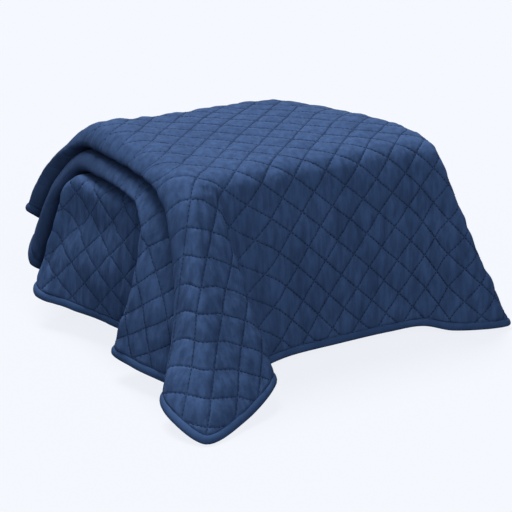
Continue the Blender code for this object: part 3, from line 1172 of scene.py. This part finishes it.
@dataclass
class ClothFace:
    """The cloth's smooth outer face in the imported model's place, and what the pieces need."""

    shift: Array  # From the sections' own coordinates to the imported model's
    drape: Drape = Drape()  # The drape that it is worked out from
    rule: StitchRule = StitchRule()  # Where the stitching runs
    stitch_softening: int = 30  # Passes that round the stitching's turns
    least_mitre: float = 0.75  # Least share of a mitre's direction along each side of a corner
    places: Array = field(init=False)  # Grid of points
    stitches: Array = field(init=False)  # Grid of stitching coordinates
    normals: Array = field(init=False)  # Grid of outward normals
    # The grid cells of the hem, in order round the cloth
    edge: list[tuple[int, int]] = field(init=False)
    hem: Array = field(init=False)  # The hem's points
    hem_normals: Array = field(init=False)  # The cloth's normals at the hem
    hem_distance: Array = field(init=False)  # Distance of every point from the hem

    def __post_init__(self) -> None:
        """Work the face out."""
        places, stitches = self.drape.surface(self.rule)
        self.places = places + self.shift
        self.stitches = soften(stitches, self.stitch_softening)
        self.normals = self.grid_normals(self.places)
        rows, columns = self.places.shape[:2]
        near = [(row, 0) for row in range(rows - 1)]
        last = [(rows - 1, column) for column in range(columns - 1)]
        far = [(row, columns - 1) for row in range(rows - 1, 0, -1)]
        first = [(0, column) for column in range(columns - 1, 0, -1)]
        self.edge = near + last + far + first
        self.hem = self.round_hem(self.places)
        self.hem_normals = self.round_hem(self.normals)
        self.hem_distance = self.distance_to_hem()

    @staticmethod
    def grid_normals(grid: Array) -> Array:
        """Outward unit normals at the points of a grid.

        Args:
            grid: The points.

        Returns:
            A normal for each point, where the edge takes those beside it.
        """
        along = np.gradient(grid, axis=0)
        across = np.gradient(grid, axis=1)
        normals = unit(np.cross(along, across))
        normals[0], normals[-1] = normals[1], normals[-2]
        normals[:, 0], normals[:, -1] = normals[:, 1], normals[:, -2]
        return normals

    def round_hem(self, grid: Array) -> Array:
        """The values of a grid along the hem, in order."""
        return np.array([grid[cell] for cell in self.edge])

    def distance_to_hem(self) -> Array:
        """Distance of every point from the nearest point of the hem.

        Returns:
            A grid of distances.
        """
        tree = KDTree(len(self.hem))
        for index, point in enumerate(self.hem):
            tree.insert(point, index)
        tree.balance()
        away = [tree.find(point)[2] for point in self.places.reshape(-1, 3)]
        return np.array(away).reshape(self.places.shape[:2])

    def tree(self) -> BVHTree:
        """A search tree of the smooth face."""
        points = [Vector(point) for point in self.places.reshape(-1, 3)]
        return BVHTree.FromPolygons(points, grid_faces(*self.places.shape[:2]))

    def inward(self, smoothing: int) -> Array:
        """The way into the cloth at each point of the hem, square to the hem.

        Args:
            smoothing: Passes that even the directions along the hem.

        Returns:
            A vector for each hem point, longer at corners as a mitre is.
        """
        before = self.hem - np.roll(self.hem, 1, axis=0)
        after = np.roll(self.hem, -1, axis=0) - self.hem
        first, second = (unit(np.cross(self.hem_normals, side)) for side in (before, after))
        middle = unit(first + second)
        ways = middle / np.maximum(np.sum(middle * first, axis=1), self.least_mitre)[:, None]
        for _ in range(smoothing):
            ways = (np.roll(ways, 1, axis=0) + 2.0 * ways + np.roll(ways, -1, axis=0)) / 4.0
        return ways


@dataclass
class QuiltedPanel:
    """The stitched cloth: a padded outer face, a plainer inner face and the cut edge between."""

    face: ClothFace  # The cloth's smooth outer face
    quilting: Quilting = Quilting()  # The relief of its padding
    thickness: float = 0.0055  # From the smooth outer face to the inner one
    edge_inset: float = 0.0035  # How far the cut edge stops short of the hem, inside the tape
    edge_drop: float = 0.0008  # How far the cut edge lies below the smooth outer face
    edge_smoothing: int = 6  # Passes that even the inset along the hem
    # Distances from the hem where the sewn look and the fullness start and are full; nearer the hem
    # the cut fullness paints a band of shade beside the tape
    tape_edge: Pair = (0.021, 0.031)
    inner_step: int = 3  # The inner face has one point for this many of the outer face's
    flat: Pair = (1.80, 1.70)  # Length and width of the cut cloth

    @cached_property
    def outer(self) -> Array:
        """The outer face with its padding, puckers and creases, and its edge drawn in.

        Returns:
            A grid of points.
        """
        face = self.face
        height = self.quilting.height(face)
        outer = face.places + face.normals * height[..., None]
        for cell, way in zip(face.edge, face.inward(self.edge_smoothing)):
            inset = way * self.edge_inset - face.normals[cell] * self.edge_drop
            outer[cell] = face.places[cell] + inset
        return outer

    def build(self) -> bpy.types.Object:
        """The panel as one closed sheet.

        Returns:
            Its object, which carries the stitching for its material.
        """
        face, step = self.face, self.inner_step
        outer = self.outer
        inner = (outer - face.normals * self.thickness)[::step, ::step]
        rows, columns = outer.shape[:2]
        inner_columns = inner.shape[1]
        start = rows * columns
        faces = grid_faces(rows, columns)
        faces += grid_faces(*inner.shape[:2], start, flip=True)
        for index in range(0, len(face.edge), step):
            ring = [face.edge[(index + along) % len(face.edge)] for along in range(step + 1)]
            top = [row * columns + column for row, column in ring]
            low = [
                start + row // step * inner_columns + column // step
                for row, column in (ring[-1], ring[0])
            ]
            faces.append((*top, *low)[::-1])
        points = np.vstack([outer.reshape(-1, 3), inner.reshape(-1, 3)])
        panel = new_piece("quilted_panel_cloth", points, faces, QuiltedCotton())
        sewn = face.stitches.copy()
        # Fading the fullness near the hem also paints a dark band of shade beside the tape's inner
        # edge.
        sewn[..., 2] *= smoothstep(*self.tape_edge, face.hem_distance)
        both = [sewn.reshape(-1, 3), sewn[::step, ::step].reshape(-1, 3)]
        carry_stitching(panel, np.vstack(both))
        return panel


class Thread(NamedTuple):
    """Where stitches lie: their middles, their directions and the cloth's normals there."""

    middles: Array
    ways: Array
    normals: Array


class Family(Enum):
    """The families of stitch lines, by what is a whole number on each line."""

    SUM = 0
    DIFFERENCE = 1


# A stitch, pointed where it dives into the cloth: its corners along, aside and up, in lengths
# and widths, and its faces.
STITCH_CORNERS = (
    (-0.5, 0.0, -0.35), (-0.28, 0.5, 0.0), (-0.28, 0.0, 0.42), (-0.28, -0.5, 0.0),
    (0.28, 0.5, 0.0), (0.28, 0.0, 0.42), (0.28, -0.5, 0.0), (0.5, 0.0, -0.35),
    (-0.28, 0.0, -0.4), (0.28, 0.0, -0.4),
)
STITCH_FACES = (
    (0, 2, 1), (0, 3, 2), (0, 8, 3), (0, 1, 8), (1, 2, 5, 4), (2, 3, 6, 5),
    (3, 8, 9, 6), (8, 1, 4, 9), (7, 4, 5), (7, 5, 6), (7, 6, 9), (7, 9, 4),
)


def sew(name: str, thread: Thread, length: float, width: float) -> bpy.types.Object:
    """Short stitches of thread as one mesh.

    Args:
        name: The piece's name.
        thread: Where the stitches lie.
        length: A stitch's length.
        width: Its width.

    Returns:
        One object with all the stitches.
    """
    sides = unit(np.cross(thread.normals, thread.ways))
    corners = [
        thread.middles
        + thread.ways * along * length
        + sides * aside * width
        + thread.normals * up * width
        for along, aside, up in STITCH_CORNERS
    ]
    faces = [
        tuple(index * len(STITCH_CORNERS) + corner for corner in face)
        for index in range(len(thread.middles))
        for face in STITCH_FACES
    ]
    log.info("%s: %d stitches", name, len(thread.middles))
    return new_piece(name, np.stack(corners, axis=1).reshape(-1, 3), faces, SewingThread())


@dataclass
class StitchRows:
    """The quilting stitches, each a short twist of thread lying in its ditch."""

    face: ClothFace  # The cloth's smooth outer face
    outer: Array  # The padded outer face
    pitch: float = 1.0 / 6.0  # From one stitch to the next, in stitching units
    length: float = 0.0066  # A stitch's length in metres
    width: float = 0.0025  # Its width
    hem_gap: float = 0.022  # No stitch lies nearer the hem than this
    least_fullness: float = 0.45  # Flatter places hide their stitches

    def triangles(self) -> Array:
        """The outer face's triangles that show stitches.

        Returns:
            Their corners' places in the list of points.
        """
        quads = np.array(grid_faces(*self.outer.shape[:2]))
        triangles = np.vstack([quads[:, [0, 1, 2]], quads[:, [2, 3, 0]]])
        clear = self.face.hem_distance > self.hem_gap
        clear &= self.face.stitches[..., 2] > self.least_fullness
        return triangles[clear.reshape(-1)[triangles].all(axis=1)]

    def along_lines(self, triangles: Array, family: Family) -> Thread:
        """The stitches of one family of lines.

        A stitch lies wherever its line's number and its own number along the line are both
        whole, which at most one place in each small triangle has.

        Args:
            triangles: The triangles that show stitches.
            family: The family.

        Returns:
            Where the stitches lie.
        """
        points = self.outer.reshape(-1, 3)
        across, along = self.face.stitches[..., 0], self.face.stitches[..., 1]
        numbers = np.stack([across + along, across - along], axis=-1).reshape(-1, 2)
        along_axis = 1 - family.value
        numbers[:, along_axis] = numbers[:, along_axis] / self.pitch + 0.5
        corners = numbers[triangles]
        to_spot = np.ceil(corners.min(axis=1)) - corners[:, 0]
        one, two = corners[:, 1] - corners[:, 0], corners[:, 2] - corners[:, 0]
        area = one[:, 0] * two[:, 1] - one[:, 1] * two[:, 0]
        area = np.where(np.abs(area) < TINY, TINY, area)
        share_one = (to_spot[:, 0] * two[:, 1] - to_spot[:, 1] * two[:, 0]) / area
        share_two = (one[:, 0] * to_spot[:, 1] - one[:, 1] * to_spot[:, 0]) / area
        inside = (share_one >= 0.0) & (share_two >= 0.0) & (share_one + share_two < 1.0)
        base, end_one, end_two = (points[triangles[inside, corner]] for corner in range(3))
        side_one, side_two = end_one - base, end_two - base
        middles = base + side_one * share_one[inside, None] + side_two * share_two[inside, None]
        run = np.zeros((len(middles), 2, 1))
        run[:, along_axis] = 1.0
        weights = np.linalg.solve(np.stack([one[inside], two[inside]], axis=-1), run)[..., 0]
        ways = unit(side_one * weights[:, :1] + side_two * weights[:, 1:])
        return Thread(middles, ways, unit(np.cross(side_one, side_two)))

    def build(self) -> bpy.types.Object:
        """All stitches as one mesh.

        Returns:
            Their object.
        """
        triangles = self.triangles()
        families = [self.along_lines(triangles, family) for family in Family]
        thread = Thread(*(np.vstack(parts) for parts in zip(*families)))
        return sew("quilting_stitches", thread, self.length, self.width)


@dataclass
class Binding:
    """The folded tape round the hem, and the stitches that hold it."""

    face: ClothFace  # The cloth's smooth outer face
    # The tape's section, as distance in from the hem and height over the outer face
    profile: tuple[Pair, ...] = (
        (0.0250, -0.0016), (0.0244, 0.0012), (0.0225, 0.0030), (0.0180, 0.0044), (0.0125, 0.0048),
        (0.0070, 0.0040), (0.0028, 0.0020), (0.0004, -0.0008), (-0.0004, -0.0036),
        (0.0004, -0.0064), (0.0028, -0.0088), (0.0080, -0.0102), (0.0170, -0.0104),
        (0.0235, -0.0086), (0.0250, -0.0055),
    )
    smoothing: int = 10  # Passes that even the tape's directions along the hem
    following: float = 0.8  # How far the tape's inner parts follow the cloth's face
    pucker: float = 0.0006  # Height of the small puckers along the tape
    pucker_length: float = 0.011  # Their length
    pucker_seed: int = 31  # Their seed
    pucker_zone: Pair = (0.004, 0.019)  # The distances in from the hem where they are full
    edge_pucker: float = 0.2  # Their share elsewhere
    stitch_pitch: float = 0.0085  # From one holding stitch to the next
    stitch_size: Pair = (0.0056, 0.0014)  # A stitch's length and width
    stitch_offset: float = 0.35  # From the tape's edge outward, in widths of its first two faces
    stitch_lift: float = 0.0016  # Height of the stitches over the tape's edge
    look_ahead: float = 0.002  # How far along the tape a stitch points
    floor_gap: float = 0.0006  # The tape comes no lower than this

    def rings(self) -> Array:
        """The tape's sections round the hem, one row of points for each hem point.

        Returns:
            A grid of points, hem point by profile point.
        """
        face, tree = self.face, self.face.tree()
        travel = loop_travel(face.hem)[:-1]
        noise = SmoothNoise(self.pucker_seed).at(travel / self.pucker_length, travel * 0.0)
        puckers = self.pucker * noise
        first, last = self.pucker_zone
        rings = np.empty((len(face.hem), len(self.profile), 3))
        ways = face.inward(self.smoothing)
        for index, (point, way, normal) in enumerate(zip(face.hem, ways, face.hem_normals)):
            for spot, (inset, height) in enumerate(self.profile):
                base = Vector(point + way * inset)
                if inset >= first:
                    base = base.lerp(tree.find_nearest(base)[0], self.following)
                swell = puckers[index] * (1.0 if first < inset < last else self.edge_pucker)
                lift = height + math.copysign(swell, height)
                rings[index, spot] = np.array(base) + normal * lift
        rings[..., 2] = np.maximum(rings[..., 2], self.floor_gap)
        return rings

    def build(self) -> tuple[bpy.types.Object, bpy.types.Object]:
        """The tape and its stitches.

        Returns:
            Both objects.
        """
        rings = self.rings()
        faces = ring_faces(*rings.shape[:2])
        tape = new_piece("binding_tape", rings.reshape(-1, 3), faces, BindingTape())
        # The hem's fullness sets the tape's painted pleat shade.
        sewn = self.face.round_hem(self.face.stitches)
        carry_stitching(tape, sewn.repeat(rings.shape[1], axis=0))
        return tape, self.stitches(rings)

    def stitches(self, rings: Array) -> bpy.types.Object:
        """The stitches in the ditch beside the tape.

        Args:
            rings: The tape's sections.

        Returns:
            Their object.
        """
        normals = self.face.hem_normals
        line = rings[:, 0] + (rings[:, 0] - rings[:, 2]) * self.stitch_offset
        line = line + normals * self.stitch_lift
        travel = loop_travel(line)
        line, normals = (np.vstack([values, values[:1]]) for values in (line, normals))
        spots = np.arange(0.0, travel[-1], self.stitch_pitch)
        middles = at_travel(spots, travel, line)
        ahead = at_travel((spots + self.look_ahead) % travel[-1], travel, line)
        up = at_travel(spots, travel, normals)
        thread = Thread(middles, unit(ahead - middles), unit(up))
        return sew("binding_stitches", thread, *self.stitch_size)


@dataclass(frozen=True)
class BedBlock:
    """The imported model's plain block under the cloth, which places the drawing in that model."""

    node: str = "bed_block"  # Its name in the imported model
    corner: Pair = (-0.362, -0.258)  # Its left near corner, in the sections' coordinates
    ticking: Ticking = Ticking()  # What it is covered with

    def shift(self) -> Array:
        """The way from the sections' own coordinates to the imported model's."""
        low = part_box(self.node)[0]
        return np.array((low[0] - self.corner[0], low[1] - self.corner[1], 0.0))

    def dress(self) -> None:
        """Give it its ticking."""
        ticking = self.ticking.build()
        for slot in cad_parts[self.node].material_slots:
            slot.material = ticking
        log.info("%s: %s", self.node, self.ticking.name)


# Studio -------------------------------------------------------------------------------------


@dataclass(frozen=True)
class Lamp:
    """One soft, distant light."""

    name: str  # Its name
    towards: Point  # The way from the bed to the light
    spread: float  # The angle that the light fills, in degrees
    power: float  # Its power in watts for each square metre

    def place(self) -> None:
        """Put the light in the scene."""
        data = bpy.data.lights.new(self.name, "SUN")
        data.angle = math.radians(self.spread)
        data.energy = self.power
        light = bpy.data.objects.new(self.name, data)
        light.rotation_euler = Vector(self.towards).to_track_quat("Z", "Y").to_euler()
        bpy.context.scene.collection.objects.link(light)


@dataclass
class Studio:
    """Pale floor, soft lights and the camera."""

    shift: Array  # From the sections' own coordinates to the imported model's
    azimuth: float = 28.8  # Camera's turn from looking along +Y towards +X, in degrees
    elevation: float = 23.0  # How far the camera looks down, in degrees
    aim: Point = (-0.37, -0.29, 0.60)  # A place on the near shoulder, in the sections' coordinates
    # How far right of and above the view's middle that place lies, as shares of the view's width
    aim_offset: Pair = (-0.125, 0.140625)
    distance: float = 6.25  # From the camera to that place along the view
    sensor: float = 36.0  # Width of the camera's sensor, in millimetres
    focal_share: float = 4.492  # Focal length over the sensor's width
    floor_half: float = 20.0  # Half of the floor's side
    # The lights
    lamps: tuple[Lamp, ...] = (
        Lamp("back_high_soft", (0.0, 0.43, 1.0), 26.0, 3.80),
        Lamp("front_high_soft", (-0.10, -0.80, 0.56), 36.0, 1.58),
        Lamp("left_low_soft", (-1.0, 0.0, 0.26), 50.0, 0.76),
        Lamp("back_right_soft", (0.60, 0.75, 0.20), 60.0, 0.60),
    )

    def camera(self) -> None:
        """Place the camera."""
        turn, tilt = math.radians(self.azimuth), math.radians(self.elevation)
        level = math.cos(tilt)
        forward = Vector((math.sin(turn) * level, math.cos(turn) * level, -math.sin(tilt)))
        right = Vector((math.cos(turn), -math.sin(turn), 0.0))
        up = right.cross(forward)
        data = bpy.data.cameras.new("camera")
        data.sensor_width = self.sensor
        data.lens = self.focal_share * data.sensor_width
        reach = self.distance / self.focal_share
        place = Vector(self.aim) + Vector(self.shift) - forward * self.distance
        place -= right * self.aim_offset[0] * reach + up * self.aim_offset[1] * reach
        camera = bpy.data.objects.new("camera", data)
        turned = Matrix((right, up, -forward)).transposed().to_4x4()
        turned.translation = place
        camera.matrix_world = turned
        bpy.context.scene.collection.objects.link(camera)
        bpy.context.scene.camera = camera

    def light(self) -> None:
        """Place the lights and set the surrounding light and the pale backdrop."""
        for lamp in self.lamps:
            lamp.place()
        world = bpy.data.worlds.new("studio")
        world.use_nodes = True
        nodes = Nodes(world.node_tree)
        around = nodes.tree.nodes["Background"]
        nodes.fill(around, {"Color": Colour.SURROUND})
        backdrop = nodes.node("ShaderNodeBackground", {}, Colour.BACKDROP)
        seen = nodes.node("ShaderNodeLightPath", {}, out="Is Camera Ray")
        lit = Wire(nodes, around.outputs["Background"])
        mixed = nodes.node("ShaderNodeMixShader", {}, seen, lit, backdrop)
        nodes.fill(nodes.tree.nodes["World Output"], {"Surface": mixed})
        bpy.context.scene.world = world
        bpy.context.scene.view_settings.view_transform = "Standard"

    def floor(self) -> bpy.types.Object:
        """The pale floor.

        Returns:
            Its object, which is part of the stage and not of the bedspread.
        """
        corners = np.array([(-1, -1, 0), (1, -1, 0), (1, 1, 0), (-1, 1, 0)]) * self.floor_half
        floor = new_piece("studio_floor", corners, [(0, 1, 2, 3)], StudioFloor())
        floor.visible_diffuse = False
        floor.visible_glossy = False
        return floor

    def build(self) -> None:
        """Set the whole studio up."""
        self.camera()
        self.light()
        self.floor()


def main() -> None:
    """Build every piece in order and report it."""
    logging.basicConfig(level=logging.INFO, format="%(message)s")
    block = BedBlock()
    shift = block.shift()
    Studio(shift).build()

    face = ClothFace(shift)
    log.info("cloth grid: %s", face.places.shape)
    panel_maker = QuiltedPanel(face)
    panel = panel_maker.build()
    stitches = StitchRows(face, panel_maker.outer).build()
    tape, tape_stitches = Binding(face).build()
    block.dress()

    for piece, material_slot in (
        (panel, "quilted_cotton"),
        (stitches, "quilted_cotton"),
        (tape, "binding_tape"),
        (tape_stitches, "binding_tape"),
    ):
        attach(piece, BODY)
        log.info("%s: %d faces", piece.name, len(piece.data.polygons))
    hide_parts("quilted_panel")
    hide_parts("binding")


if __name__ == "__main__":
    main()
